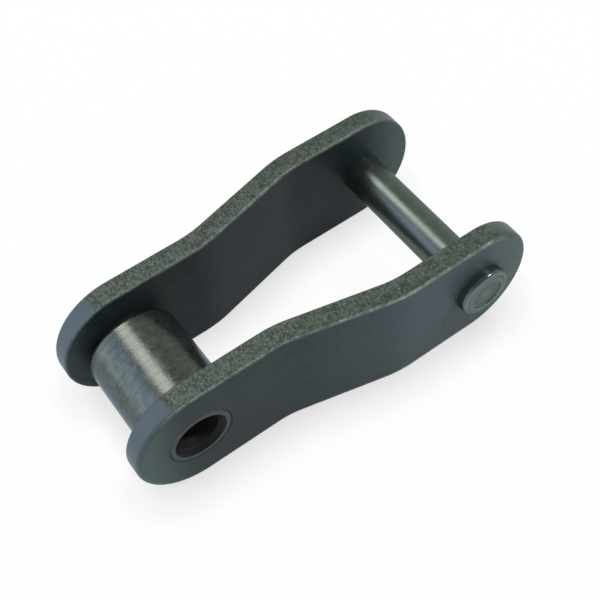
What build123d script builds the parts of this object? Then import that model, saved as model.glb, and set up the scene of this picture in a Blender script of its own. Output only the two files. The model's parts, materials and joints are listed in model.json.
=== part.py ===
from build123d import *
from math import acos, cos, degrees, radians, tan
import os

# Offset link of a roller conveyor chain, in millimetres.
# The origin is the centre of the bush, X runs to the pin, Y along both axes and Z up.

# Chain
pitch = 38.1  # bush axis to pin axis
inner_width = 13.6  # between the plates at the bush
next_link_clearance = 0.65  # from a plate to the narrow end of the next link, on each side

# Link plates
plate_thickness = 2.75
plate_height = 16.8
bush_end_reach = 8.2  # bush axis to the rounded tip
pin_end_reach = 7.6  # pin axis to the rounded tip
crank_middle = 19.2  # bush axis to the middle of the crank
crank_angle = 13.25
crank_radius = 15.5  # of each bend, at half the plate's thickness
plate_edge_round = 0.3

# Pin
pin_diameter = 5.35
pin_hole_clearance = 0.02  # radial, in the plates
head_diameter = 6.9
head_height = 1.5
head_round = 0.7
head_dish_diameter = 4.4
head_dish_depth = 0.1
pin_end_length = 3.5  # beyond the far plate
pin_end_chamfer = 0.5

# Bush
bush_bore_clearance = 0.075  # radial, on the pin of the next link
bush_wall = 1.325
bush_mouth_chamfer = 0.65
bush_edge_chamfer = 0.1

# Roller
roller_bore_clearance = 0.08  # radial, on the bush
roller_wall = 1.8
roller_near_gap = 0.1  # to the near plate, where the roller lies
roller_far_gap = 1.15  # to the far plate
roller_edge_round = 0.7
roller_mouth_chamfer = 0.3

# Cotter
cotter_diameter = 1.8  # of both legs together
cotter_hole_clearance = 0.1  # radial, in the pin
cotter_standoff = 1.75  # far plate to the cotter's axis
cotter_leg_gap = 0.04
cotter_shoulder_gap = 0.1  # from the pin to the shoulders and to the bends
cotter_eye_radius = 0.9  # inside the eye
cotter_shoulder_radius = 1.2
cotter_bend_radius = 1.4
cotter_spread_angle = 32.0
cotter_tip_length = 2.2

# Radii of the turned pieces, each from the one inside it
pin_radius = pin_diameter / 2
bush_bore_radius = pin_radius + bush_bore_clearance
bush_radius = bush_bore_radius + bush_wall
roller_bore_radius = bush_radius + roller_bore_clearance

# Places along Y
crank_offset = plate_thickness + next_link_clearance
narrow_inner = inner_width / 2
narrow_outer = narrow_inner + plate_thickness
wide_inner = narrow_inner + crank_offset
wide_outer = wide_inner + plate_thickness
roller_length = inner_width - roller_near_gap - roller_far_gap

# The near plate: a cranked strip, cut to the outline that is seen from the side.
# FilletPolyline turns the two corners of its middle line into the bends.
narrow_middle = narrow_inner + plate_thickness / 2
wide_middle = wide_inner + plate_thickness / 2
crank_half_length = crank_offset / 2 / tan(radians(crank_angle))
strip_bends = [
    (crank_middle - crank_half_length, -narrow_middle),
    (crank_middle + crank_half_length, -wide_middle),
]

with BuildPart() as right_link_plate:
    with BuildSketch(Plane.XY.offset(-plate_height / 2)):
        with BuildLine():
            FilletPolyline(
                (-bush_end_reach - plate_thickness, -narrow_middle),
                *strip_bends,
                (pitch + pin_end_reach + plate_thickness, -wide_middle),
                radius=crank_radius,
            )
        trace(line_width=plate_thickness)
    extrude(amount=plate_height)
    with BuildSketch(Plane.XZ):
        with Locations((pitch / 2, 0)):
            Rectangle(pitch, plate_height)
        Ellipse(bush_end_reach, plate_height / 2)
        with Locations((pitch, 0)):
            Ellipse(pin_end_reach, plate_height / 2)
    extrude(amount=wide_outer + plate_thickness, mode=Mode.INTERSECT)
    across_edges = right_link_plate.edges().filter_by(Axis.Y)
    bend_edges = right_link_plate.edges().filter_by(Axis.Z)
    fillet(right_link_plate.edges() - across_edges - bend_edges, radius=plate_edge_round)
    with BuildSketch(Plane.XZ):
        Circle(bush_radius)
        with Locations((pitch, 0)):
            Circle(pin_radius + pin_hole_clearance)
    extrude(amount=wide_outer + plate_thickness, mode=Mode.SUBTRACT)

# The far plate is the near one mirrored.
with BuildPart() as left_link_plate:
    add(right_link_plate.part.mirror(Plane.XZ))

# The bush runs from face to face of the narrow end.
with BuildPart() as bush:
    with BuildSketch(Plane.XY) as bush_section:
        with Locations((bush_bore_radius, 0)):
            Rectangle(bush_wall, 2 * narrow_outer, align=(Align.MIN, Align.CENTER))
        chamfer(bush_section.vertices().group_by(Axis.X)[0], length=bush_mouth_chamfer)
        chamfer(bush_section.vertices().group_by(Axis.X)[-1], length=bush_edge_chamfer)
    revolve(axis=Axis.Y)

# The roller lies against the near plate and turns on the bush.
with BuildPart() as roller:
    with BuildSketch(Plane.XY) as roller_section:
        with Locations((roller_bore_radius, -narrow_inner + roller_near_gap)):
            Rectangle(roller_wall, roller_length, align=(Align.MIN, Align.MIN))
        chamfer(roller_section.vertices().group_by(Axis.X)[0], length=roller_mouth_chamfer)
        fillet(roller_section.vertices().group_by(Axis.X)[-1], radius=roller_edge_round)
    revolve(axis=Axis.Y)

# The pin: a turned shank and head, with a hole for the cotter near its far end.
pin_axis = Axis((pitch, 0, 0), (0, 1, 0))
cotter_y = wide_outer + cotter_standoff
with BuildPart() as pin:
    with BuildSketch(Plane.XY) as shank_section:
        with Locations((pitch, -wide_outer)):
            Rectangle(pin_radius, 2 * wide_outer + pin_end_length, align=(Align.MIN, Align.MIN))
        end_corner = shank_section.vertices().group_by(Axis.Y)[-1].sort_by(Axis.X)[-1]
        chamfer(end_corner, length=pin_end_chamfer)
    revolve(axis=pin_axis)
    with BuildSketch(Plane.XY) as head_section:
        with Locations((pitch, -wide_outer)):
            Rectangle(head_diameter / 2, head_height, align=(Align.MIN, Align.MAX))
        rim_corner = head_section.vertices().group_by(Axis.Y)[0].sort_by(Axis.X)[-1]
        fillet(rim_corner, radius=head_round)
        with Locations((pitch, -wide_outer - head_height)):
            Rectangle(head_dish_diameter / 2, head_dish_depth, align=(Align.MIN, Align.MIN), mode=Mode.SUBTRACT)
    revolve(axis=pin_axis)
    with BuildSketch(Plane.YZ.offset(pitch)):
        with Locations((cotter_y, 0)):
            Circle(cotter_diameter / 2 + cotter_hole_clearance)
    extrude(amount=pin_diameter, both=True, mode=Mode.SUBTRACT)

# The cotter: half-round wire, bent into an eye with two legs that spread beyond the pin.
# The path is the wire's flat side. Its upper half is drawn and mirrored.
leg_height = cotter_leg_gap / 2
shoulder_x = pitch - pin_radius - cotter_shoulder_gap
bend_x = pitch + pin_radius + cotter_shoulder_gap
shoulder_height = leg_height + cotter_shoulder_radius
shoulder_angle = 90 - degrees(acos(shoulder_height / (cotter_eye_radius + cotter_shoulder_radius)))
eye_x = shoulder_x - (cotter_eye_radius + cotter_shoulder_radius) * cos(radians(shoulder_angle))

with BuildPart() as cotter_pin:
    with BuildLine(Plane.XZ.offset(-cotter_y)) as wire_path:
        CenterArc((eye_x, 0), cotter_eye_radius, shoulder_angle, 180 - shoulder_angle)
        CenterArc(
            (shoulder_x, shoulder_height),
            cotter_shoulder_radius,
            180 + shoulder_angle,
            90 - shoulder_angle,
        )
        Line((shoulder_x, leg_height), (bend_x, leg_height))
        bend = CenterArc((bend_x, leg_height + cotter_bend_radius), cotter_bend_radius, 270, cotter_spread_angle)
        Line(bend @ 1, bend @ 1 + (bend % 1) * cotter_tip_length)
        mirror(about=Plane.XY)
    path = wire_path.wire()
    with BuildSketch(Plane(path @ 0, x_dir=(0, 1, 0), z_dir=path % 0)) as wire_section:
        Circle(cotter_diameter / 2)
        split(bisect_by=Plane.XY)
    sweep(path=path)

right_link_plate.part.label = "right_link_plate"
left_link_plate.part.label = "left_link_plate"
bush.part.label = "bush"
roller.part.label = "roller"
pin.part.label = "pin"
cotter_pin.part.label = "cotter_pin"

os.makedirs("parts", exist_ok=True)
for piece in (right_link_plate, left_link_plate, bush, roller, pin, cotter_pin):
    export_step(piece.part, f"parts/{piece.part.label}.step")
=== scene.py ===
"""Meshes, finishes, light and camera for the offset chain link.

Sizes are in millimetres and angles in radians, and meshes are written in metres.
The origin is the centre of the bush, X runs along the chain to the pin, Y along both axes and Z up.
"""

from __future__ import annotations

import json
import logging
from abc import ABC, abstractmethod
from dataclasses import dataclass
from enum import Enum
from functools import cache, reduce
from math import acos, asin, atan2, cos, pi, radians, sin, sqrt, tan
from typing import Iterable, Sequence, Union

import bmesh
import bpy
import numpy as np
from mathutils import Matrix, Vector

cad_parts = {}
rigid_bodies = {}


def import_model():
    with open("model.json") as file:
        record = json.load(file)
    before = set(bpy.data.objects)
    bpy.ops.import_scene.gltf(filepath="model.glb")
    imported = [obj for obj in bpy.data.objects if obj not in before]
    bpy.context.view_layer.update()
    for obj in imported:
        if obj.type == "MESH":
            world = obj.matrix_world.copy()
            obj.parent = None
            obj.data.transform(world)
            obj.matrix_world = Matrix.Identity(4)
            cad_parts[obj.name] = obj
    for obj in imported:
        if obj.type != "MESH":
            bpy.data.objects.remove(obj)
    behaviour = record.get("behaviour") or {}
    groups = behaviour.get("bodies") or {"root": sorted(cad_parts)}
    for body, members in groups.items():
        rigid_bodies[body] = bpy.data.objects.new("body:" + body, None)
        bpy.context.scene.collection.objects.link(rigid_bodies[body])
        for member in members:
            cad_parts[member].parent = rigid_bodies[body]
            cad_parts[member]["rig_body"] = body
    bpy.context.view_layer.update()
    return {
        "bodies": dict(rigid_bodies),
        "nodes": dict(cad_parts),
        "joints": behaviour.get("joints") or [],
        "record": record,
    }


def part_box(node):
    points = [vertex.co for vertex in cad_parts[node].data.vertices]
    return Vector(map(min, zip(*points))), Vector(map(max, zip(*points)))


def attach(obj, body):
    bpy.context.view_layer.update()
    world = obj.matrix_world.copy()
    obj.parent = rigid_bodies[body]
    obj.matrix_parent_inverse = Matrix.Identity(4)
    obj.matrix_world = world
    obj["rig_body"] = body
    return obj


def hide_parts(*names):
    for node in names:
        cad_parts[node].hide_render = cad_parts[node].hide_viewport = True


MM = 0.001
SHADING_BAND = 0.06  # width of the narrow faces beside a rounded edge, which keep a flat face evenly shaded
SHARP_ANGLE = radians(32.0)  # edges that turn by more than this stay crisp

Colour = tuple[float, float, float]
Point = tuple[float, float, float]
Row = list[int]
Socket = bpy.types.NodeSocket
Value = Union[Socket, float, tuple[float, ...]]  # what a socket is fed: another one, or a plain value

log = logging.getLogger("offset chain link")


class Side(Enum):
    """The side of the link that a plate is on, as the sign of Y."""

    RIGHT = -1
    LEFT = 1


class Mark(Enum):
    """Numbers from 0 to 1 that a mesh carries on its points, for its finish to read."""

    RIM = "rim"  # on the edge of a plate, and not on its faces
    SMOOTH = "smooth"  # on the smooth part of that edge, round the plate's ends
    CORNER = "corner"  # where a rounded edge is worn, and on a plate where a painted highlight lies along it
    END = "end"  # towards the end of a plate, or on the end of a turned piece
    DRY = "dry"  # painted reflection on a plate: strongest on the outer face at the wide end


class Operation(Enum):
    """How two values of a finish are combined."""

    ADD = "ADD"
    SUBTRACT = "SUBTRACT"
    MULTIPLY = "MULTIPLY"
    LARGER = "MAXIMUM"


@dataclass(frozen=True)
class Measures:
    """Sizes of the link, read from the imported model."""

    pitch: float
    pin_radius: float
    head_radius: float
    head_height: float
    pin_end_length: float
    bush_bore_radius: float
    bush_radius: float
    roller_near: float
    roller_far: float
    roller_radius: float
    plate_height: float
    bush_end_reach: float
    pin_end_reach: float
    narrow_inner: float
    narrow_outer: float
    wide_inner: float
    wide_outer: float

    @property
    def plate_thickness(self) -> float:
        """The thickness of a link plate."""
        return self.narrow_outer - self.narrow_inner

    @classmethod
    def read(cls, frame: dict) -> Measures:
        """Reads the sizes from the boxes of the nodes and from the mounts.


        Returns:
            The sizes.
        """
        mounts = {mount["name"]: mount for mount in frame["record"]["mounts"]}
        journal = mounts["pin_journal"]
        pitch = journal["pos_m"][0] / MM
        plate_low, plate_high = (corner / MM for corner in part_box("right_link_plate"))
        bush_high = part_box("bush")[1] / MM
        roller_low, roller_high = (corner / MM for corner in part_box("roller"))
        pin_low, pin_high = (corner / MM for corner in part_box("pin"))
        return cls(
            pitch=pitch,
            pin_radius=journal["dims"]["r_mm"],
            head_radius=pin_high.x - pitch,
            head_height=plate_low.y - pin_low.y,
            pin_end_length=pin_high.y + plate_low.y,
            bush_bore_radius=mounts["bush_bore"]["dims"]["r_mm"],
            bush_radius=bush_high.x,
            roller_near=roller_low.y,
            roller_far=roller_high.y,
            roller_radius=roller_high.x,
            plate_height=plate_high.z - plate_low.z,
            bush_end_reach=-plate_low.x,
            pin_end_reach=plate_high.x - pitch,
            narrow_inner=-plate_high.y,
            narrow_outer=bush_high.y,
            wide_inner=journal["dims"]["length_mm"] / 2,
            wide_outer=-plate_low.y,
        )


class Surface:
    """A mesh in the making: rows of points, the faces between them and the marks on the points."""

    def __init__(self) -> None:
        """Starts with nothing in it."""
        self.points: list[Point] = []
        self.faces: list[Row] = []
        self.marks: dict[Mark, list[float]] = {mark: [] for mark in Mark}

    def row(self, points: Iterable[Point], marks: dict[Mark, float] | None = None) -> Row:
        """Adds points that share their marks.

        Args:
            points: their places.
            marks: the marks that aren't zero.

        Returns:
            The numbers of the new points.
        """
        first = len(self.points)
        self.points.extend((float(x), float(y), float(z)) for x, y, z in points)
        added = list(range(first, len(self.points)))
        for mark, values in self.marks.items():
            values.extend([(marks or {}).get(mark, 0.0)] * len(added))
        return added

    def strip(self, near: Row, far: Row, closed: bool = False) -> None:
        """Adds the four-sided faces between two rows.

        Args:
            near: one row.
            far: the other, with as many points.
            closed: whether the rows run round and end where they start.
        """
        count = len(near)
        for i in range(count if closed else count - 1):
            j = (i + 1) % count
            self.faces.append([near[i], near[j], far[j], far[i]])

    def skin(self, rows: Sequence[Row], closed: bool = False) -> None:
        """Adds the faces between each row and the next, all with as many points."""
        for near, far in zip(rows, rows[1:]):
            self.strip(near, far, closed)

    def cap(self, rim: Row, tip: Point, marks: dict[Mark, float] | None = None) -> None:
        """Closes a row that runs round with a fan of triangles.

        Args:
            rim: the row.
            tip: the point in its middle.
            marks: the tip's marks that aren't zero.
        """
        (middle,) = self.row([tip], marks)
        for i, point in enumerate(rim):
            self.faces.append([point, rim[(i + 1) % len(rim)], middle])

    def piece(self, name: str) -> bpy.types.Object:
        """Writes the mesh in metres.

        Args:
            name: the name of the new object.

        Returns:
            The object, smooth apart from its crisp edges.
        """
        mesh = bpy.data.meshes.new(name)
        mesh.from_pydata((np.array(self.points) * MM).tolist(), [], self.faces)
        for mark, values in self.marks.items():
            mesh.attributes.new(mark.value, "FLOAT", "POINT").data.foreach_set("value", values)
        work = bmesh.new()
        work.from_mesh(mesh)
        bmesh.ops.recalc_face_normals(work, faces=work.faces)
        work.to_mesh(mesh)
        work.free()
        mesh.shade_smooth()
        mesh.set_sharp_from_angle(angle=SHARP_ANGLE)
        piece = bpy.data.objects.new(name, mesh)
        bpy.context.scene.collection.objects.link(piece)
        return piece


@dataclass(frozen=True)
class Corner:
    """A corner of a turned piece's section, and how it is broken."""

    radius: float  # distance from the axis
    y: float
    rounding: float = 0.0
    chamfer: float = 0.0
    marks: tuple[Mark, ...] = ()


class Lathe:
    """Turns a section round an axis parallel to Y."""

    ROUND_POINTS = 7  # along a rounded corner

    def __init__(self, axis_x: float, segments: int) -> None:
        """Sets where the axis stands along X, and the angles of a ring's points, none of them on X."""
        self.axis_x = axis_x
        self.angles = (np.arange(segments) + 0.5) * 2 * pi / segments

    def section(self, corners: Sequence[Corner], closed: bool) -> list[Corner]:
        """Breaks the corners of a section.

        Args:
            corners: the corners in order.
            closed: whether the last one is joined to the first.

        Returns:
            The points of the finished section.
        """
        finished: list[Corner] = []
        for i, corner in enumerate(corners):
            at_end = not closed and i in (0, len(corners) - 1)
            if at_end or not (corner.rounding or corner.chamfer):
                finished.append(corner)
                continue
            here = np.array([corner.radius, corner.y])
            before = np.array([corners[i - 1].radius, corners[i - 1].y]) - here
            after_corner = corners[(i + 1) % len(corners)]
            after = np.array([after_corner.radius, after_corner.y]) - here
            before /= np.linalg.norm(before)
            after /= np.linalg.norm(after)
            if corner.chamfer:
                places = [here + before * corner.chamfer, here + after * corner.chamfer]
            else:
                places = self.rounding(here, before, after, corner.rounding)
            finished.extend(Corner(*place, marks=corner.marks) for place in places)
        return finished

    def rounding(
        self, corner: np.ndarray, before: np.ndarray, after: np.ndarray, radius: float
    ) -> list[np.ndarray]:
        """Gives the points of a rounded square corner, with a narrow band on each side of it.

        Args:
            corner: the corner.
            before: the direction back along the section.
            after: the direction onwards.
            radius: the radius of the rounding.

        Returns:
            The points, in order.
        """
        band = min(SHADING_BAND, radius / 2)
        turn = np.linspace(0, pi / 2, self.ROUND_POINTS)
        arc = [corner + before * radius * (1 - sin(a)) + after * radius * (1 - cos(a)) for a in turn]
        return [corner + before * (radius + band), *arc, corner + after * (radius + band)]

    def piece(self, name: str, corners: Sequence[Corner], closed: bool) -> bpy.types.Object:
        """Turns a section.

        Args:
            name: the name of the new object.
            corners: the section's corners. The ends of an open section lie on the axis.
            closed: whether the section runs round a hollow piece.

        Returns:
            The object.
        """
        surface = Surface()
        section = self.section(corners, closed)
        rings = [
            surface.row(self.ring(point), {mark: 1.0 for mark in point.marks})
            for point in section
            if point.radius > 0
        ]
        surface.skin(rings, closed=True)
        if closed:
            surface.strip(rings[-1], rings[0], closed=True)
        else:
            for ring, point in ((rings[0], section[0]), (rings[-1], section[-1])):
                surface.cap(ring, (self.axis_x, point.y, 0.0), {mark: 1.0 for mark in point.marks})
        return surface.piece(name)

    def ring(self, point: Corner) -> list[Point]:
        """Gives the ring that one point of the section makes."""
        return [(self.axis_x + point.radius * cos(a), point.y, point.radius * sin(a)) for a in self.angles]


@dataclass(frozen=True)
class Crank:
    """The run of a plate from the narrow end out to the wide end, seen from above.

    Heights are measured square to the chain from the inner face of the narrow end, and a depth is
    the distance of a layer of the plate from the plate's inner face.
    """

    rise: float
    thickness: float
    middle: float = 19.2  # of the run, from the bush's axis along the chain
    angle: float = radians(13.25)
    radius: float = 15.5  # of both bends, at half the plate's thickness

    @property
    def start(self) -> float:
        """Where the first bend begins along the chain."""
        return self.middle - self.rise / 2 / tan(self.angle) - self.radius * tan(self.angle / 2)

    @property
    def end(self) -> float:
        """Where the second bend ends along the chain."""
        return 2 * self.middle - self.start

    def height(self, x: float, depth: float) -> float:
        """Gives the height of a layer of the plate.

        Args:
            x: the place along the chain.
            depth: the layer.

        Returns:
            Its height there.
        """
        first_centre = self.radius + self.thickness / 2
        first_radius = first_centre - depth
        second_centre = self.rise + self.thickness / 2 - self.radius
        second_radius = self.radius - self.thickness / 2 + depth
        slope_start = self.start + first_radius * sin(self.angle)
        slope_end = self.end - second_radius * sin(self.angle)
        if x <= self.start:
            return depth
        if x <= slope_start:
            return first_centre - sqrt(first_radius**2 - (x - self.start) ** 2)
        if x < slope_end:
            return first_centre - first_radius * cos(self.angle) + (x - slope_start) * tan(self.angle)
        if x < self.end:
            return second_centre + sqrt(second_radius**2 - (self.end - x) ** 2)
        return self.rise + depth


@dataclass(frozen=True)
class OutlinePoint:
    """A point on the outline of a plate, seen from the side, with the direction square to it."""

    x: float
    z: float
    out_x: float
    out_z: float
    smooth: float = 0.0

    def inset(self, distance: float) -> tuple[float, float]:
        """Gives the place that lies this far inside the outline, as x and z."""
        return self.x - distance * self.out_x, self.z - distance * self.out_z


@dataclass(frozen=True)
class Piece(ABC):
    """A piece of the link, in the place of one CAD node."""

    sizes: Measures

    @property
    @abstractmethod
    def node(self) -> str:
        """The name of the CAD node."""

    @property
    def name(self) -> str:
        """The name of the piece's object."""
        return f"{self.node}_steel"

    @property
    @abstractmethod
    def finish(self) -> PlateFinish | TurnedFinish:
        """The piece's finish."""

    @abstractmethod
    def mesh(self) -> bpy.types.Object:
        """Builds the piece's mesh."""

    def dress(self, frame: dict) -> bpy.types.Object:
        """Builds the mesh, gives it its finish and puts it in the place of its CAD node.


        Returns:
            The finished piece.
        """
        node = self.node
        piece = self.mesh()
        piece.data.materials.clear()
        piece.data.materials.append(self.finish.material())
        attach(piece, frame["nodes"][node]["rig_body"])
        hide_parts(node)
        return piece


@dataclass(frozen=True)
class LinkPlate(Piece):
    """A cranked plate, blanked from strip, with a hole for the bush and one for the pin."""

    side: Side
    edge_round: float = 0.3
    end_round: float = 0.7  # of the outer face's edge at the tips
    round_steps: int = 6
    rim_rows: int = 5
    rows_across: int = 26  # of the grid on the crank's faces
    crank_step: float = 0.45
    flat_step: float = 0.7
    tip_steps: int = 48
    hole_edge_break: float = 0.15  # of both holes, at the outer face
    wear_and_highlight_reach: float = 0.5  # from a rounded edge to where its wear and painted highlight fade out on the face
    inner_highlight: float = 0.73  # painted highlight along the far plate's inner edge
    highlight_fall: float = 0.3  # share by which that painted highlight fades towards the face and the rim
    strip_wear_and_highlight: float = 0.5  # wear and painted highlight beside the outer edge, where the painted reflection is weakest
    sheen_strip_wear_and_highlight: float = 0.9  # and where it is strongest
    rough_reach: float = 2.5  # how far the strip's rough edge runs on past each hole's axis
    rough_fade: float = 1.6  # length over which it turns smooth
    inner_end: float = 0.4  # strength of the end mark at the narrow tip, on the inner face
    outer_end: float = 0.85  # and on the outer face
    part_sheen: float = 0.12  # how strong the painted reflection is at the wide end inside, and at the narrow end outside

    @property
    def node(self) -> str:
        """The name of the plate's CAD node."""
        return f"{self.side.name.lower()}_link_plate"

    @property
    def finish(self) -> PlateFinish:
        """The plate's finish."""
        return PlateFinish()

    @property
    def crank(self) -> Crank:
        """The plate's run from end to end."""
        return Crank(self.sizes.wide_inner - self.sizes.narrow_inner, self.sizes.plate_thickness)

    def stations(self) -> list[float]:
        """Gives the places along the chain, from the bush to the pin, where the grid has a line.

        Returns:
            The places, in order.
        """
        crank = self.crank
        stretches = (
            (0.0, crank.start, self.flat_step),
            (crank.start, crank.end, self.crank_step),
            (crank.end, self.sizes.pitch, self.flat_step),
        )
        places = [0.0]
        for start, end, step in stretches:
            places.extend(np.linspace(start, end, round((end - start) / step) + 1)[1:].tolist())
        return places

    def outline(self) -> list[OutlinePoint]:
        """Gives the outline as seen from the side, clockwise from above the bush.

        Returns:
            The upper edge, the pin end's tip, the lower edge and the bush end's tip.
        """
        half = self.sizes.plate_height / 2
        stations = self.stations()
        upper = [OutlinePoint(x, half, 0.0, 1.0) for x in stations]
        lower = [OutlinePoint(x, -half, 0.0, -1.0) for x in reversed(stations)]
        pin_tip = self.tip(self.sizes.pitch, self.sizes.pin_end_reach, half, 90.0)
        bush_tip = self.tip(0.0, self.sizes.bush_end_reach, half, 270.0)
        return upper + pin_tip + lower + bush_tip

    def tip(self, centre: float, reach: float, half: float, start: float) -> list[OutlinePoint]:
        """Gives the points inside one half-elliptic end, turning clockwise.

        Args:
            centre: where the hole's axis stands along the chain.
            reach: how far the tip lies from it.
            half: half the plate's height.
            start: the angle at which the end begins, in degrees.

        Returns:
            The points between the two straight edges.
        """
        points = []
        for angle in np.radians(np.linspace(start, start - 180, self.tip_steps + 1)[1:-1]):
            out = Vector((cos(angle) / reach, sin(angle) / half)).normalized()
            beyond = reach * cos(angle)
            smooth = min(max((abs(beyond) - self.rough_reach) / self.rough_fade + 0.5, 0.0), 1.0)
            points.append(OutlinePoint(centre + beyond, half * sin(angle), out.x, out.y, smooth))
        return points

    def end_share(self, x: float) -> float:
        """Says how far a place lies towards the nearer tip, from 0 at the hole's axis to 1."""
        sizes = self.sizes
        return max(-x / sizes.bush_end_reach, (x - sizes.pitch) / sizes.pin_end_reach, 0.0)

    def run_marks(self, x: float, depth: float) -> dict[Mark, float]:
        """Gives the marks that don't depend on the distance from the outline.

        Args:
            x: the place along the chain.
            depth: the depth.

        Returns:
            The marks.
        """
        crank = self.crank
        wide = min(max((x - crank.start) / (crank.end - crank.start), 0.0), 1.0)
        outer = depth / self.sizes.plate_thickness
        narrow_end = self.inner_end + (self.outer_end - self.inner_end) * outer
        end = self.end_share(x) * (narrow_end if x < 0 else 1.0)
        # painted reflection: strongest on the outer face at the wide end
        dry = self.part_sheen * (wide + outer) + (1 - 2 * self.part_sheen) * wide * outer
        return {Mark.END: end, Mark.DRY: dry}

    def rounding(self, radius: float) -> list[tuple[float, float, float]]:
        """Gives the section of a rounded edge, from the face to the rim.

        Args:
            radius: its radius.

        Returns:
            Each point's distance inside the outline, depth below the face and share of the turn.
        """
        arc = [
            (radius * (1 - sin(turn * pi / 2)), radius * (1 - cos(turn * pi / 2)), turn)
            for turn in np.linspace(0, 1, self.round_steps + 1)
        ]
        return [(radius + SHADING_BAND, 0.0, 0.0), *arc]

    def section(self, point: OutlinePoint) -> list[tuple[float, float, dict[Mark, float]]]:
        """Gives the section of the plate's edge from the inner face to the outer one.

        Args:
            point: where it crosses the outline.

        Returns:
            For each row of the mesh its distance inside the outline, its depth and its marks.
        """
        thickness, share = self.sizes.plate_thickness, self.end_share(point.x)
        outer_round = self.edge_round + (self.end_round - self.edge_round) * share
        inner_highlight = self.inner_highlight if self.side is Side.LEFT else 0.0
        dry = self.run_marks(point.x, thickness)[Mark.DRY]
        strip_wear_and_highlight = self.strip_wear_and_highlight + (self.sheen_strip_wear_and_highlight - self.strip_wear_and_highlight) * dry
        rows = [(self.edge_round + self.wear_and_highlight_reach, 0.0, 0.0, 0.0)]
        for inset, depth, turn in self.rounding(self.edge_round):
            rows.append((inset, depth, turn, inner_highlight * (1 - self.highlight_fall * abs(2 * turn - 1))))
        rim_start, rim_end = self.edge_round + SHADING_BAND, thickness - outer_round - SHADING_BAND
        rows += [(0.0, depth, 1.0, 0.0) for depth in np.linspace(rim_start, rim_end, self.rim_rows)]
        for inset, depth, turn in reversed(self.rounding(outer_round)):
            on_strip = strip_wear_and_highlight if turn < 0.5 else 0.0
            rows.append((inset, thickness - depth, turn, max(1 - abs(2 * turn - 1), on_strip)))
        rows.append((outer_round + self.wear_and_highlight_reach, thickness, 0.0, 0.0))
        section = []
        for inset, depth, rim, wear_and_highlight in rows:
            marks = {Mark.RIM: rim, Mark.CORNER: wear_and_highlight, Mark.SMOOTH: point.smooth}
            section.append((inset, depth, {**self.run_marks(point.x, depth), **marks}))
        return section

    def place(self, x: float, z: float, depth: float) -> Point:
        """Gives the place of a point of the plate from where it shows in the side view and its depth."""
        height = self.sizes.narrow_inner + self.crank.height(x, depth)
        return x, self.side.value * height, z

    def hole(self, surface: Surface, centre: float, radius: float, faces: Sequence[Row]) -> None:
        """Adds the flat faces round a hole, and its wall.

        Args:
            surface: where they go.
            centre: where the hole's axis stands along the chain.
            radius: the hole's radius.
            faces: the border of the flat part on the inner face and on the outer one.
        """
        inner_border, outer_border = faces
        angles = []
        for number in inner_border:
            x, _, z = surface.points[number]
            angles.append(atan2(z, x - centre))
        thickness, relief = self.sizes.plate_thickness, self.hole_edge_break
        wall = [(radius, 0.0), (radius, thickness - relief), (radius + relief, thickness)]
        rings: list[Row] = []
        for distance, depth in wall:
            rings.append([])
            for angle in angles:
                x, z = centre + distance * cos(angle), distance * sin(angle)
                rings[-1] += surface.row([self.place(x, z, depth)], self.run_marks(x, depth))
        surface.skin([inner_border, *rings, outer_border], closed=True)

    def crank_face(self, surface: Surface, row: Row, depth: float) -> tuple[Row, Row]:
        """Adds a grid across the crank on one face.

        Args:
            surface: where it goes.
            row: the row round the outline that the grid hangs between.
            depth: the face's depth.

        Returns:
            The borders of what is left open round the bush's hole and round the pin's.
        """
        stations, crank = self.stations(), self.crank
        first, last = (
            min(range(len(stations)), key=lambda i: abs(stations[i] - bend))
            for bend in (crank.start, crank.end)
        )
        lower_last = 2 * len(stations) + self.tip_steps - 2  # the lower edge's last point, under the bush
        columns = []
        for i in range(first, last + 1):
            top, bottom = row[i], row[lower_last - i]
            top_z, bottom_z = surface.points[top][2], surface.points[bottom][2]
            heights = np.linspace(top_z, bottom_z, self.rows_across + 1)[1:-1]
            places = [self.place(stations[i], z, depth) for z in heights]
            columns.append([top, *surface.row(places, self.run_marks(stations[i], depth)), bottom])
        surface.skin(columns)
        bush_border = row[lower_last - first:] + row[:first] + columns[0][:-1]
        pin_border = row[last:lower_last - last] + columns[-1][:0:-1]
        return bush_border, pin_border

    def mesh(self) -> bpy.types.Object:
        """Builds the plate.

        Returns:
            The new object.
        """
        surface = Surface()
        outline = self.outline()
        rows: list[Row] = []
        for crossings in zip(*(self.section(point) for point in outline)):
            rows.append([])
            for point, (inset, depth, marks) in zip(outline, crossings):
                x, z = point.inset(inset)
                rows[-1] += surface.row([self.place(x, z, depth)], marks)
        surface.skin(rows, closed=True)
        inner, outer = (rows[0], 0.0), (rows[-1], self.sizes.plate_thickness)
        bush_borders, pin_borders = zip(*(self.crank_face(surface, *face) for face in (inner, outer)))
        self.hole(surface, 0.0, self.sizes.bush_radius, bush_borders)
        self.hole(surface, self.sizes.pitch, self.sizes.pin_radius, pin_borders)
        return surface.piece(self.name)


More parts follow.
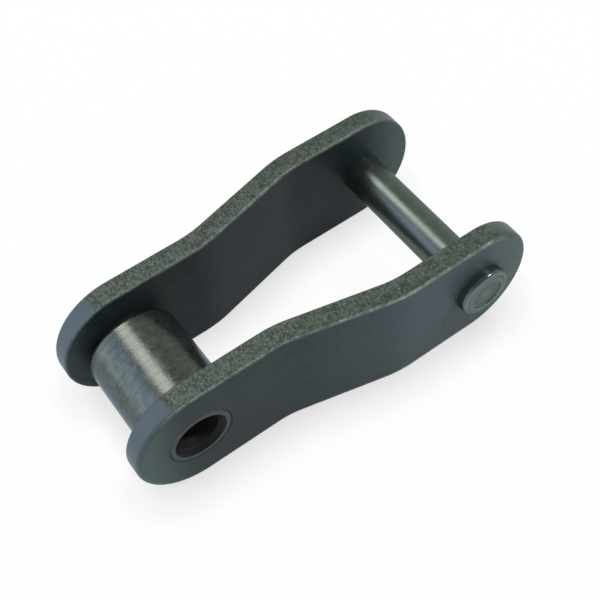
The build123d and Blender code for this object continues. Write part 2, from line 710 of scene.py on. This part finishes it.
@dataclass(frozen=True)
class Bush(Piece):
    """The bearing tube of the narrow end, pressed into both plates and flush with them."""

    mouth_chamfer: float = 0.65
    edge_chamfer: float = 0.1
    segments: int = 128
    node: str = "bush"

    @property
    def finish(self) -> TurnedFinish:
        """The bush's finish."""
        bore = self.sizes.bush_bore_radius
        return TurnedFinish(
            self.name, dark=(0.055, 0.064, 0.067), light=(0.090, 0.10, 0.104), roughness=(0.36, 0.46),
            end_dark=(0.054, 0.061, 0.065), end_light=(0.077, 0.087, 0.092), grazing=(0.5, 0.55, 0.6),
            bore_radius=bore, mouth_radius=bore + self.mouth_chamfer,
        )

    def mesh(self) -> bpy.types.Object:
        """Builds the bush.

        Returns:
            The new object.
        """
        inner, outer, end = self.sizes.bush_bore_radius, self.sizes.bush_radius, self.sizes.narrow_outer
        corners = [
            Corner(inner, -end, chamfer=self.mouth_chamfer),
            Corner(inner, end, chamfer=self.mouth_chamfer),
            Corner(outer, end, chamfer=self.edge_chamfer),
            Corner(outer, -end, chamfer=self.edge_chamfer),
        ]
        return Lathe(0.0, self.segments).piece(self.name, corners, closed=True)


@dataclass(frozen=True)
class Roller(Piece):
    """The plain roller that turns on the bush."""

    bore_clearance: float = 0.08
    edge_round: float = 0.7
    mouth_chamfer: float = 0.3
    segments: int = 160
    node: str = "roller"

    @property
    def bore_radius(self) -> float:
        """The radius of the bore, which runs on the bush."""
        return self.sizes.bush_radius + self.bore_clearance

    @property
    def finish(self) -> TurnedFinish:
        """The roller's finish."""
        return TurnedFinish(
            self.name, dark=(0.069, 0.079, 0.067), light=(0.130, 0.138, 0.124), roughness=(0.22, 0.31),
            end_dark=(0.090, 0.105, 0.095), end_light=(0.110, 0.125, 0.115), grazing=(0.60, 0.70, 0.86),
            bore_radius=self.bore_radius, mouth_radius=self.bore_radius + self.mouth_chamfer,
            cloud=Pattern(0.8, detail=4.0, roughness=0.6), ring_height=0.0006, grain_height=0.010,
            metallic=0.86,
        )

    def mesh(self) -> bpy.types.Object:
        """Builds the roller.

        Returns:
            The new object.
        """
        outer, near, far = self.sizes.roller_radius, self.sizes.roller_near, self.sizes.roller_far
        corners = [
            Corner(self.bore_radius, near, chamfer=self.mouth_chamfer),
            Corner(self.bore_radius, far, chamfer=self.mouth_chamfer),
            Corner(outer, far, rounding=self.edge_round),
            Corner(outer, near, rounding=self.edge_round),
        ]
        return Lathe(0.0, self.segments).piece(self.name, corners, closed=True)


@dataclass(frozen=True)
class Pin(Piece):
    """The headed pin of the wide end, with a cross hole for the cotter."""

    head_round: float = 0.7
    dish_radius: float = 2.2
    dish_depth: float = 0.1
    dish_round: float = 0.03  # of both its edges
    end_chamfer: float = 0.5
    cotter_standoff: float = 1.75
    cotter_hole_radius: float = 1.0
    segments: int = 128
    drill_segments: int = 64
    node: str = "pin"

    @property
    def cotter_y(self) -> float:
        """Where the cotter lies along the pin."""
        return self.sizes.wide_outer + self.cotter_standoff

    @property
    def finish(self) -> TurnedFinish:
        """The pin's finish."""
        return TurnedFinish(
            self.name, dark=(0.102, 0.120, 0.108), light=(0.136, 0.155, 0.142), roughness=(0.29, 0.37),
            end_dark=(0.110, 0.128, 0.134), end_light=(0.158, 0.176, 0.188), grazing=(0.40, 0.50, 0.42),
            edge_polish=0.16, axis_x=self.sizes.pitch, ring_height=0.0005,
        )

    def mesh(self) -> bpy.types.Object:
        """Builds the pin.

        Returns:
            The new object, with its cross hole cut.
        """
        sizes = self.sizes
        face = -sizes.wide_outer - sizes.head_height
        tip = sizes.wide_outer + sizes.pin_end_length
        end = (Mark.END,)
        corners = [
            Corner(0.0, face + self.dish_depth, marks=end),
            Corner(self.dish_radius, face + self.dish_depth, rounding=self.dish_round, marks=end),
            Corner(self.dish_radius, face, rounding=self.dish_round, marks=end),
            Corner(sizes.head_radius, face, rounding=self.head_round, marks=(Mark.END, Mark.CORNER)),
            Corner(sizes.head_radius, -sizes.wide_outer),
            Corner(sizes.pin_radius, -sizes.wide_outer),
            Corner(sizes.pin_radius, sizes.wide_outer),
            Corner(sizes.pin_radius, tip, chamfer=self.end_chamfer),
            Corner(0.0, tip),
        ]
        pin = Lathe(sizes.pitch, self.segments).piece(self.name, corners, closed=False)
        self.cut_cotter_hole(pin)
        return pin

    def cut_cotter_hole(self, pin: bpy.types.Object) -> None:
        """Drills the cross hole along X, right through the pin.

        Args:
            pin: the pin without its hole.
        """
        bpy.ops.mesh.primitive_cylinder_add(
            vertices=self.drill_segments,
            radius=self.cotter_hole_radius * MM,
            depth=4 * self.sizes.pin_radius * MM,
            location=(self.sizes.pitch * MM, self.cotter_y * MM, 0.0),
            rotation=(0.0, pi / 2, 0.0),
        )
        drill = bpy.context.object
        cut = pin.modifiers.new("cotter hole", "BOOLEAN")
        cut.object = drill
        cut.operation = "DIFFERENCE"
        cut.solver = "MANIFOLD"
        bpy.context.view_layer.update()
        drilled = bpy.data.meshes.new_from_object(pin.evaluated_get(bpy.context.evaluated_depsgraph_get()))
        pin.modifiers.clear()
        pin.data = drilled
        bpy.data.objects.remove(drill)
        drilled.shade_smooth()
        drilled.set_sharp_from_angle(angle=SHARP_ANGLE)


@dataclass(frozen=True)
class CotterPin(Piece):
    """Half-round wire bent into an eye, with two legs that spread beyond the pin."""

    y: float  # where it lies along the pin
    wire_radius: float = 0.9
    leg_gap: float = 0.04
    shoulder_gap: float = 0.1
    eye_radius: float = 0.9
    shoulder_radius: float = 1.2
    bend_radius: float = 1.4
    spread_angle: float = radians(32.0)
    tip_length: float = 2.2
    wire_edge_round: float = 0.14
    arc_step: float = radians(6.0)
    tip_rows: int = 5
    back_points: int = 25
    edge_points: int = 5
    flat_points: int = 5
    node: str = "cotter_pin"

    @property
    def finish(self) -> TurnedFinish:
        """The cotter's finish."""
        return TurnedFinish(
            "cotter_steel", dark=(0.16, 0.17, 0.17), light=(0.24, 0.25, 0.25), roughness=(0.3, 0.42),
            end_dark=(0.18, 0.18, 0.18), end_light=(0.22, 0.22, 0.22), grazing=(0.8, 0.8, 0.8),
        )

    def arc(
        self, centre: tuple[float, float], radius: float, start: float, end: float
    ) -> list[tuple[float, float, float]]:
        """Gives points along an arc of the wire's flat side.

        Args:
            centre: its centre, as x and z.
            radius: its radius.
            start: the angle where it starts.
            end: the angle where it ends.

        Returns:
            For each point its x and z, and the direction in which the wire runs there.
        """
        count = round(abs(end - start) / self.arc_step) + 1
        quarter = pi / 2 if end > start else -pi / 2
        return [
            (centre[0] + radius * cos(a), centre[1] + radius * sin(a), a + quarter)
            for a in np.linspace(start, end, count)
        ]

    def upper_half(self) -> list[tuple[float, float, float]]:
        """Follows the flat side of the wire's upper half, from the middle of the eye to the tip.

        Returns:
            For each point its x and z, and the direction in which the wire runs there.
        """
        leg = self.leg_gap / 2
        shoulder_x = self.sizes.pitch - self.sizes.pin_radius - self.shoulder_gap
        bend_x = self.sizes.pitch + self.sizes.pin_radius + self.shoulder_gap
        shoulder_z = leg + self.shoulder_radius
        reach = self.eye_radius + self.shoulder_radius
        meeting = pi / 2 - acos(shoulder_z / reach)
        eye_x = shoulder_x - reach * cos(meeting)
        eye = self.arc((eye_x, 0.0), self.eye_radius, pi, meeting)
        shoulder = self.arc((shoulder_x, shoulder_z), self.shoulder_radius, pi + meeting, 3 * pi / 2)
        bend = self.arc(
            (bend_x, leg + self.bend_radius), self.bend_radius, 3 * pi / 2, 3 * pi / 2 + self.spread_angle
        )
        x, z, direction = bend[-1]
        steps = np.linspace(0, self.tip_length, self.tip_rows + 1)[1:]
        tip = [(x + s * cos(direction), z + s * sin(direction), direction) for s in steps]
        return eye + shoulder[1:] + bend + tip

    def section(self) -> list[tuple[float, float]]:
        """Gives the half-round section of the wire.

        Returns:
            For each point its place along Y and its height above the flat.
        """
        radius, rounding = self.wire_radius, self.wire_edge_round
        centre_u = sqrt((radius - rounding) ** 2 - rounding**2)
        corner_top = asin(rounding / (radius - rounding))
        angles = np.linspace(corner_top, pi - corner_top, self.back_points)
        back = [(radius * cos(a), radius * sin(a)) for a in angles]
        corner = [
            (centre_u + rounding * cos(a), rounding + rounding * sin(a))
            for a in np.linspace(-pi / 2, corner_top, self.edge_points + 1)[:-1]
        ]
        other = [(-u, v) for u, v in reversed(corner)]
        flat_end = centre_u - SHADING_BAND
        flat = [(u, 0.0) for u in np.linspace(-flat_end, flat_end, self.flat_points)]
        return corner + back + other + flat

    def mesh(self) -> bpy.types.Object:
        """Builds the cotter pin.

        Returns:
            The new object.
        """
        upper = self.upper_half()
        lower = [(x, -z, pi - direction) for x, z, direction in reversed(upper[1:])]
        surface = Surface()
        rows = []
        for x, z, direction in lower + upper:
            out_x, out_z = -sin(direction), cos(direction)
            rows.append(surface.row((x + v * out_x, self.y + u, z + v * out_z) for u, v in self.section()))
        surface.skin(rows, closed=True)
        middle = self.wire_radius / 2
        for (x, z, direction), row in ((lower[0], rows[0]), (upper[-1], rows[-1])):
            surface.cap(row, (x - middle * sin(direction), self.y, z + middle * cos(direction)))
        return surface.piece(self.name)


@dataclass(frozen=True)
class Pattern:
    """A noise pattern of soft patches."""

    size: float
    detail: float = 2.0  # how many finer layers it has
    roughness: float = 0.5  # how strong the finer layers are
    stretch: Point = (1.0, 1.0, 1.0)  # how many times longer the patches are along each axis


@dataclass(frozen=True)
class Spread:
    """How the part of a value between two levels is spread over a range.

    The levels given here are those between which most of a noise pattern lies.
    """

    low: float = 0.35  # what becomes start
    high: float = 0.65  # what becomes end
    start: float = 0.0
    end: float = 1.0


class Graph:
    """The shader nodes of one material."""

    def __init__(self, name: str) -> None:
        """Starts a material with a plain shader.

        Args:
            name: the material's name.
        """
        self.material = bpy.data.materials.new(name)
        self.material.use_nodes = True
        self.nodes = self.material.node_tree.nodes
        self.shader = self.nodes["Principled BSDF"]
        self.place = self.nodes.new("ShaderNodeTexCoord").outputs["Object"]

    def feed(self, socket: Socket, value: Value) -> None:
        """Joins a socket to another node's output, or gives it a plain value.

        Args:
            socket: the socket.
            value: the output or the plain value.
        """
        if isinstance(value, Socket):
            self.material.node_tree.links.new(value, socket)
        else:
            socket.default_value = value

    def add(self, kind: str, inputs: dict[str | int, Value]) -> bpy.types.Node:
        """Adds a node.

        Args:
            kind: its kind, such as Mapping.
            inputs: what its sockets are fed, under their names or numbers.

        Returns:
            The node.
        """
        node = self.nodes.new(f"ShaderNode{kind}")
        for socket, value in inputs.items():
            self.feed(node.inputs[socket], value)
        return node

    def noise(self, pattern: Pattern, place: Socket | None = None) -> Socket:
        """Adds a noise pattern.

        Args:
            pattern: the pattern.
            place: the coordinates that it lies in, in metres, if not the piece's own.

        Returns:
            Its value, from 0 to 1.
        """
        scale = tuple(1 / (pattern.size * MM * along) for along in pattern.stretch)
        mapping = self.add("Mapping", {"Vector": place or self.place, "Scale": scale})
        look = {"Scale": 1.0, "Detail": pattern.detail, "Roughness": pattern.roughness}
        return self.add("TexNoise", {"Vector": mapping.outputs["Vector"], **look}).outputs["Fac"]

    def turned_place(self, axis_x: float) -> tuple[Socket, Socket]:
        """Measures each point from an axis along Y.

        Args:
            axis_x: where the axis stands along X, in millimetres.

        Returns:
            The distance from the axis, and coordinates made of that distance and the place along the axis.
        """
        location, scale = (-axis_x * MM, 0.0, 0.0), (1.0, 0.0, 1.0)
        shift = self.add("Mapping", {"Vector": self.place, "Location": location, "Scale": scale})
        length = self.add("VectorMath", {0: shift.outputs["Vector"]})
        length.operation = "LENGTH"
        distance = length.outputs["Value"]
        along = self.add("SeparateXYZ", {"Vector": self.place}).outputs["Y"]
        return distance, self.add("CombineXYZ", {"X": distance, "Y": along}).outputs["Vector"]

    def mark(self, mark: Mark) -> Socket:
        """Reads one of the mesh's marks.

        Args:
            mark: which one.

        Returns:
            Its value.
        """
        node = self.add("Attribute", {})
        node.attribute_name = mark.value
        return node.outputs["Fac"]

    def spread(self, value: Socket, spread: Spread = Spread()) -> Socket:
        """Spreads the part of a value between two levels over a range.

        Args:
            value: the value.
            spread: the levels and the range.

        Returns:
            The new value, which stays in the range.
        """
        levels = {"From Min": spread.low, "From Max": spread.high}
        span = {"To Min": spread.start, "To Max": spread.end}
        node = self.add("MapRange", {"Value": value, **levels, **span})
        node.interpolation_type = "SMOOTHSTEP"
        return node.outputs["Result"]

    def line(self, value: Socket, start: float, end: float) -> Socket:
        """Turns a value from 0 to 1 into one from start to end, in a straight line."""
        return self.add("MapRange", {"Value": value, "To Min": start, "To Max": end}).outputs["Result"]

    def maths(self, operation: Operation, first: Socket, second: Socket | float) -> Socket:
        """Combines two values.

        Args:
            operation: how they are combined.
            first: the first value.
            second: the second value, or a number.

        Returns:
            The result.
        """
        node = self.add("Math", {0: first, 1: second})
        node.operation = operation.value
        return node.outputs["Value"]

    def product(self, *values: Socket) -> Socket:
        """Multiplies the values."""
        return reduce(lambda first, second: self.maths(Operation.MULTIPLY, first, second), values)

    def mixed(self, first: Socket, second: Socket, share: float) -> Socket:
        """Mixes two values, with this share of the second one."""
        rest = self.maths(Operation.MULTIPLY, first, 1 - share)
        return self.maths(Operation.ADD, rest, self.maths(Operation.MULTIPLY, second, share))

    def blend(self, share: Socket, first: Socket | Colour, second: Socket | Colour) -> Socket:
        """Blends two colours.

        Args:
            share: how much of the second colour shows, from 0 to 1.
            first: the first colour.
            second: the second colour.

        Returns:
            The blended colour.
        """
        node = self.add("Mix", {"Factor": share})
        node.data_type = "RGBA"
        sockets = [socket for socket in node.inputs if socket.type == "RGBA"]
        for socket, colour in zip(sockets, (first, second)):
            self.feed(socket, (*colour, 1.0) if isinstance(colour, tuple) else colour)
        return next(socket for socket in node.outputs if socket.type == "RGBA")

    def bump(self, layers: Sequence[tuple[Socket, float]]) -> None:
        """Gives the surface its relief.

        Args:
            layers: patterns, each with its height in millimetres.
        """
        below: dict[str, Socket] = {}
        for pattern, height in layers:
            node = self.add("Bump", {"Distance": height * MM, "Height": pattern, **below})
            below = {"Normal": node.outputs["Normal"]}
        self.feed(self.shader.inputs["Normal"], below["Normal"])

    def finish(
        self, colour: Socket, roughness: Socket, metallic: float, grazing: Colour
    ) -> bpy.types.Material:
        """Joins the patterns to the shader.

        Args:
            colour: the base colour.
            roughness: the roughness.
            metallic: how metallic the surface is.
            grazing: the tint of its reflections at a grazing angle.

        Returns:
            The material.
        """
        self.feed(self.shader.inputs["Base Color"], colour)
        self.feed(self.shader.inputs["Roughness"], roughness)
        self.shader.inputs["Metallic"].default_value = metallic
        self.shader.inputs["Specular Tint"].default_value = (*grazing, 1.0)
        return self.material


@dataclass(frozen=True)
class PlateFinish:
    """Dark oiled steel strip: even faces, mottled sheared edges and smoother rounded ends, with painted
    reflections that make the faces paler towards the wide end, the outer side and the tips, and painted
    highlights along some rounded edges and on the sheared edges away from the wide end.
    """

    name: str = "plate_steel"
    face_dark: Colour = (0.012, 0.018, 0.020)
    face_light: Colour = (0.031, 0.041, 0.043)
    # a paler face where the painted reflection lies
    face_sheen: Colour = (0.068, 0.090, 0.104)
    # a paler face towards the tips: painted reflection
    face_end: Colour = (0.085, 0.117, 0.116)
    face_stain: Colour = (0.022, 0.029, 0.040)
    rim_dark: Colour = (0.050, 0.065, 0.051)
    rim_light: Colour = (0.093, 0.112, 0.088)
    rim_warm: Colour = (0.083, 0.096, 0.062)
    # paler sheared edge away from the wide end: a painted highlight
    rim_highlight: Colour = (0.142, 0.163, 0.144)
    fleck: Colour = (0.22, 0.25, 0.21)
    # the smooth edge round each end; the narrow end's paler, bluer tone is a painted reflection
    smooth_wide: Colour = (0.064, 0.084, 0.064)
    smooth_narrow: Colour = (0.110, 0.132, 0.152)
    # colour of wear, and of painted highlights along rounded edges
    wear_and_highlight_colour: Colour = (0.35, 0.38, 0.35)
    grazing: Colour = (0.80, 0.94, 1.0)
    specular: float = 0.08
    metallic: float = 0.15

    cloud: Pattern = Pattern(7.0, detail=3.0, roughness=0.6)
    streak: Pattern = Pattern(0.5, detail=3.0, roughness=0.6, stretch=(5.0, 1.0, 1.0))
    stain: Pattern = Pattern(0.7, detail=3.0, roughness=0.65)
    crystal: Pattern = Pattern(0.26, roughness=0.6, stretch=(1.0, 1.8, 1.0))
    patch: Pattern = Pattern(1.4)
    spark: Pattern = Pattern(0.17, detail=1.0, stretch=(1.0, 1.6, 1.0))
    grain: Pattern = Pattern(0.20, detail=3.0, roughness=0.65)
    grain_height: float = 0.006
    pit_height: float = 0.05

    streaks_in_tone: float = 0.4  # the rest of the face's tone is clouds
    patches_in_mottle: float = 0.3  # the rest of the sheared edge's mottle is crystals
    sheen_share: float = 0.8  # how much of the paler face colour, a painted reflection, shows where that reflection is strongest
    rim_highlight_share: float = 0.9  # how much of the paler edge colour, a painted highlight, shows where the painted reflection is weakest
    ended: Spread = Spread(0.0, 1.0, 0.0, 0.95)  # how much of the paler tip colour, a painted reflection, shows towards a tip
    stained: Spread = Spread(end=0.20)  # how much of face_stain the stains show
    mottled: Spread = Spread(0.40, 0.62)  # from rim_dark to rim_light
    warmed: Spread = Spread(0.50, 0.66, 0.0, 0.45)  # how much of rim_warm the patches show
    flecked: Spread = Spread(0.66, 0.74)  # where the sparks are flecks
    ragged: Spread = Spread(0.3, 0.7, -0.3, 0.3)  # moves the border of the sheared edge to and fro
    sheared: Spread = Spread(0.2, 0.8, 1.0, 0.0)  # from the sheared edge to the smooth one
    corner_wear_and_highlight: Spread = Spread(0.3, 1.0)  # the four shares of wear and painted highlight are multiplied
    patch_wear_and_highlight: Spread = Spread(0.3, 0.7, 0.35, 0.9)
    crystal_wear_and_highlight: Spread = Spread(0.35, 0.6, 0.45, 1.0)
    end_wear_and_highlight: Spread = Spread(0.0, 0.6, 1.0, 0.0)
    face_roughness: Spread = Spread(start=0.38, end=0.46)
    rim_roughness: Spread = Spread(0.4, 0.7, 0.02, 0.12)  # added on the sheared edge

    @cache
    def material(self) -> bpy.types.Material:
        """Builds the finish, once for both plates.

        Returns:
            The material.
        """
        graph = Graph(self.name)
        rim, smooth, corner, end, dry = (graph.mark(mark) for mark in Mark)
        crystal, patch = graph.noise(self.crystal), graph.noise(self.patch)
        border = graph.maths(Operation.ADD, smooth, graph.spread(patch, self.ragged))
        rough_rim = graph.product(rim, graph.spread(border, self.sheared))

        tone = graph.mixed(graph.noise(self.cloud), graph.noise(self.streak), self.streaks_in_tone)
        face = graph.blend(graph.spread(tone), self.face_dark, self.face_light)
        # painted reflection: a paler face towards the wide end and on the outer side
        face = graph.blend(graph.line(dry, 0.0, self.sheen_share), face, self.face_sheen)
        # painted reflection: a paler face towards the tips
        face = graph.blend(graph.spread(end, self.ended), face, self.face_end)
        face = graph.blend(graph.spread(graph.noise(self.stain), self.stained), face, self.face_stain)

        mottle = graph.mixed(crystal, patch, self.patches_in_mottle)
        # painted highlight: a paler sheared edge where the painted reflection is weakest
        rim_light = graph.blend(graph.line(dry, self.rim_highlight_share, 0.0), self.rim_light, self.rim_highlight)
        edge = graph.blend(graph.spread(mottle, self.mottled), self.rim_dark, rim_light)
        edge = graph.blend(graph.spread(patch, self.warmed), edge, self.rim_warm)
        edge = graph.blend(graph.spread(graph.noise(self.spark), self.flecked), edge, self.fleck)

        # wear and painted highlights along rounded edges
        wear_and_highlight = graph.product(
            graph.spread(corner, self.corner_wear_and_highlight),
            graph.spread(patch, self.patch_wear_and_highlight),
            graph.spread(crystal, self.crystal_wear_and_highlight),
            graph.spread(end, self.end_wear_and_highlight),
        )
        # smooth edges at the tips, toned with the painted reflection
        colour = graph.blend(rim, face, graph.blend(dry, self.smooth_narrow, self.smooth_wide))
        colour = graph.blend(rough_rim, colour, edge)
        colour = graph.blend(wear_and_highlight, colour, self.wear_and_highlight_colour)

        rim_roughness = graph.product(rough_rim, graph.spread(crystal, self.rim_roughness))
        roughness = graph.maths(Operation.ADD, graph.spread(tone, self.face_roughness), rim_roughness)
        pits = graph.product(rough_rim, crystal)
        graph.bump([(graph.noise(self.grain), self.grain_height), (pits, self.pit_height)])
        graph.shader.inputs["Specular IOR Level"].default_value = self.specular
        return graph.finish(colour, roughness, self.metallic, self.grazing)


@dataclass(frozen=True)
class TurnedFinish:
    """Dark oiled steel that was turned or ground, with fine rings round its axis, and painted light and
    shade in a bore.
    """

    name: str
    dark: Colour
    light: Colour
    roughness: tuple[float, float]  # where the clouds are dark, and where they are light
    end_dark: Colour
    end_light: Colour
    grazing: Colour
    edge_polish: float = 0.0  # how much smoother the end's rounded edge is
    axis_x: float = 0.0
    bore_radius: float = 0.0
    mouth_radius: float = 0.0
    bore_blur: float = 0.03  # how far the bore's and the mouth's colour runs past its border
    # the bore's inside is painted paler than the steel, as painted light in its shade
    bore: Colour = (0.17, 0.15, 0.15)
    # the mouth's chamfer is painted near black, as painted shade
    mouth_shade: Colour = (0.017, 0.015, 0.015)
    metallic: float = 0.8
    cloud: Pattern = Pattern(3.0, detail=4.0, roughness=0.6)
    rings: Pattern = Pattern(0.12, detail=3.0, roughness=0.6)
    end_rings: Pattern = Pattern(0.45, detail=1.0)
    grain: Pattern = Pattern(0.15)
    ring_height: float = 0.001
    grain_height: float = 0.004
    clouds_in_tone: float = 0.5  # the rest of the tone is rings
    cloud_levels: tuple[float, float] = (0.3, 0.7)  # between which the roughness changes
    end_tone: Spread = Spread(0.4, 0.6)

    def material(self) -> bpy.types.Material:
        """Builds the finish.

        Returns:
            The material.
        """
        graph = Graph(self.name)
        distance, turned = graph.turned_place(self.axis_x)
        rings, cloud = graph.noise(self.rings, turned), graph.noise(self.cloud)
        tone = graph.mixed(rings, cloud, self.clouds_in_tone)
        colour = graph.blend(graph.spread(tone), self.dark, self.light)
        end_tone = graph.spread(graph.noise(self.end_rings, turned), self.end_tone)
        end_colour = graph.blend(end_tone, self.end_dark, self.end_light)
        colour = graph.blend(graph.mark(Mark.END), colour, end_colour)
        # painted shade on the bore's mouth, and painted light inside it
        for radius, inside in ((self.mouth_radius, self.mouth_shade), (self.bore_radius, self.bore)):
            border = Spread((radius + self.bore_blur) * MM, (radius - self.bore_blur) * MM)
            colour = graph.blend(graph.spread(distance, border), colour, inside)
        polish = graph.maths(Operation.MULTIPLY, graph.mark(Mark.CORNER), self.edge_polish)
        roughness = graph.spread(cloud, Spread(*self.cloud_levels, *self.roughness))
        roughness = graph.maths(Operation.SUBTRACT, roughness, polish)
        graph.bump([(graph.noise(self.grain), self.grain_height), (rings, self.ring_height)])
        return graph.finish(colour, roughness, self.metallic, self.grazing)


@dataclass(frozen=True)
class SoftBox:
    """A square light panel."""

    name: str
    direction: Point  # from the link towards the panel
    size: float
    power: float
    colour: Colour
    distance: float = 600.0

    def hang(self, centre: Point) -> None:
        """Hangs the panel.

        Args:
            centre: what it is aimed at.
        """
        light = bpy.data.lights.new(self.name, "AREA")
        light.shape = "SQUARE"
        light.size = self.size * MM
        light.energy = self.power
        light.color = self.colour
        box = bpy.data.objects.new(self.name, light)
        towards = Vector(self.direction).normalized()
        box.location = (Vector(centre) + towards * self.distance) * MM
        box.rotation_euler = towards.to_track_quat("Z", "Y").to_euler()
        bpy.context.scene.collection.objects.link(box)


@dataclass(frozen=True)
class Studio:
    """A pale floor, four soft boxes, and walls that are pale at the horizon and darker overhead."""

    floor_size: float = 6000.0
    floor_tone: Colour = (0.95, 0.95, 0.95)
    floor_lift: float = 0.96  # share of the floor's tone that glows evenly, darkened only by the painted contact shadow
    contact_reach: float = 5.8  # how far the painted contact shadow reaches beside a piece
    contact_tone: float = 0.51  # the glow's strength where a piece hides the whole sky, in the painted contact shadow
    contact_samples: int = 16  # directions in which a close piece is looked for
    horizon: Colour = (0.99, 0.99, 0.99)
    wall: Colour = (0.78, 0.88, 0.80)
    wall_height: float = 0.16  # as the sine of the angle above the horizon
    ceiling: Colour = (0.26, 0.27, 0.28)
    ceiling_height: float = 0.75  # likewise
    soft_boxes: tuple[SoftBox, ...] = (
        SoftBox("key", (-0.14, 0.47, 0.87), 250.0, 1.07, (1.0, 0.96, 0.95)),
        SoftBox("front_fill", (0.60, -0.34, 0.72), 60.0, 1.2, (1.0, 1.0, 0.98)),
        SoftBox("left_fill", (-0.80, 0.47, 0.36), 560.0, 1.5, (0.56, 0.71, 1.0)),
        SoftBox("right_fill", (0.42, 0.47, 0.80), 430.0, 0.15, (0.85, 1.0, 0.88)),
    )

    def build(self, ground: float, centre: Point) -> None:
        """Puts up the floor and the lights.

        Args:
            ground: the height of the floor.
            centre: what the lights are aimed at.
        """
        self.floor(ground, centre)
        self.walls()
        for soft_box in self.soft_boxes:
            soft_box.hang(centre)

    def floor(self, ground: float, centre: Point) -> None:
        """Lays the floor.

        Args:
            ground: its height.
            centre: what it lies under.
        """
        half = self.floor_size / 2
        corners = [
            (centre[0] + along * half, centre[1] + across * half, ground)
            for along, across in ((-1, -1), (1, -1), (1, 1), (-1, 1))
        ]
        mesh = bpy.data.meshes.new("floor")
        mesh.from_pydata((np.array(corners) * MM).tolist(), [], [(0, 1, 2, 3)])
        floor = bpy.data.objects.new("floor", mesh)
        bpy.context.scene.collection.objects.link(floor)
        mesh.materials.append(self.floor_material())

    def floor_material(self) -> bpy.types.Material:
        """Builds the floor's finish: an even glow, with a painted contact shadow beside close pieces, seen
        by camera, glossy and transmission rays, over a matt floor in its own tone that keeps the real
        shadow.

        Returns:
            The material.
        """
        graph = Graph("pale_floor")
        graph.nodes.remove(graph.shader)
        contact = graph.add("AmbientOcclusion", {"Distance": self.contact_reach * MM})
        contact.samples = self.contact_samples
        matt = graph.add("BsdfDiffuse", {"Color": (*self.floor_tone, 1.0)})
        # painted contact shadow: the glow is darker where a piece is close
        lit = graph.add("Emission", {"Strength": graph.line(contact.outputs["AO"], self.contact_tone, 1.0)})
        path = graph.add("LightPath", {}).outputs
        seen = graph.maths(Operation.LARGER, path["Is Camera Ray"], path["Is Glossy Ray"])
        seen = graph.maths(Operation.LARGER, seen, path["Is Transmission Ray"])
        share = graph.maths(Operation.MULTIPLY, seen, self.floor_lift)
        mix = graph.add("MixShader", {"Fac": share, 1: matt.outputs["BSDF"], 2: lit.outputs["Emission"]})
        graph.feed(graph.nodes["Material Output"].inputs["Surface"], mix.outputs["Shader"])
        return graph.material

    def walls(self) -> None:
        """Lights the link from all round: pale at the horizon and darker overhead."""
        world = bpy.data.worlds.new("studio")
        world.use_nodes = True
        bpy.context.scene.world = world
        nodes, links = world.node_tree.nodes, world.node_tree.links
        place = nodes.new("ShaderNodeTexCoord")
        parts = nodes.new("ShaderNodeSeparateXYZ")
        links.new(place.outputs["Generated"], parts.inputs["Vector"])
        ramp = nodes.new("ShaderNodeValToRGB")
        ramp.color_ramp.interpolation = "EASE"
        low, high = ramp.color_ramp.elements
        low.position = 0.0
        low.color = (*self.horizon, 1.0)
        high.position = self.ceiling_height
        high.color = (*self.ceiling, 1.0)
        ramp.color_ramp.elements.new(self.wall_height).color = (*self.wall, 1.0)
        links.new(parts.outputs["Z"], ramp.inputs["Fac"])
        links.new(ramp.outputs["Color"], nodes["Background"].inputs["Color"])


@dataclass(frozen=True)
class PhotoCamera:
    """The camera at the photograph's viewing angle."""

    target: Point = (19.62, -1.335, 0.0)
    distance: float = 128.066
    azimuth: float = radians(-32.858)
    elevation: float = radians(55.929)
    roll: float = radians(-3.74)
    lens: float = 63.181
    sensor: float = 36.0
    nearest: float = 1.0  # the distances between which it sees
    farthest: float = 10000.0

    def place(self) -> None:
        """Sets the scene's camera."""
        back = Vector((
            sin(self.azimuth) * cos(self.elevation),
            -cos(self.azimuth) * cos(self.elevation),
            sin(self.elevation),
        ))
        level_right = Vector((0.0, 0.0, 1.0)).cross(back).normalized()
        level_up = back.cross(level_right)
        right = level_right * cos(self.roll) + level_up * sin(self.roll)
        up = back.cross(right)
        data = bpy.data.cameras.new("photo_camera")
        data.sensor_width = self.sensor
        data.lens = self.lens
        data.clip_start = self.nearest * MM
        data.clip_end = self.farthest * MM
        camera = bpy.data.objects.new("photo_camera", data)
        turn = Matrix((right, up, back)).transposed().to_4x4()
        camera.matrix_world = Matrix.Translation((Vector(self.target) + back * self.distance) * MM) @ turn
        bpy.context.scene.collection.objects.link(camera)
        bpy.context.scene.camera = camera


def main() -> None:
    """Builds the link's pieces, the studio and the camera."""
    logging.basicConfig(level=logging.INFO, format="%(message)s")
    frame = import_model()
    bpy.context.scene.view_settings.view_transform = "Standard"

    sizes = Measures.read(frame)
    pin = Pin(sizes)
    plates = [LinkPlate(sizes, side) for side in Side]
    for piece in (*plates, Bush(sizes), Roller(sizes), pin, CotterPin(sizes, pin.cotter_y)):
        dressed = piece.dress(frame)
        log.info("%s: %d faces", dressed.name, len(dressed.data.polygons))
    Studio().build(-sizes.plate_height / 2, (sizes.pitch / 2, 0.0, 0.0))
    PhotoCamera().place()


if __name__ == "__main__":
    main()
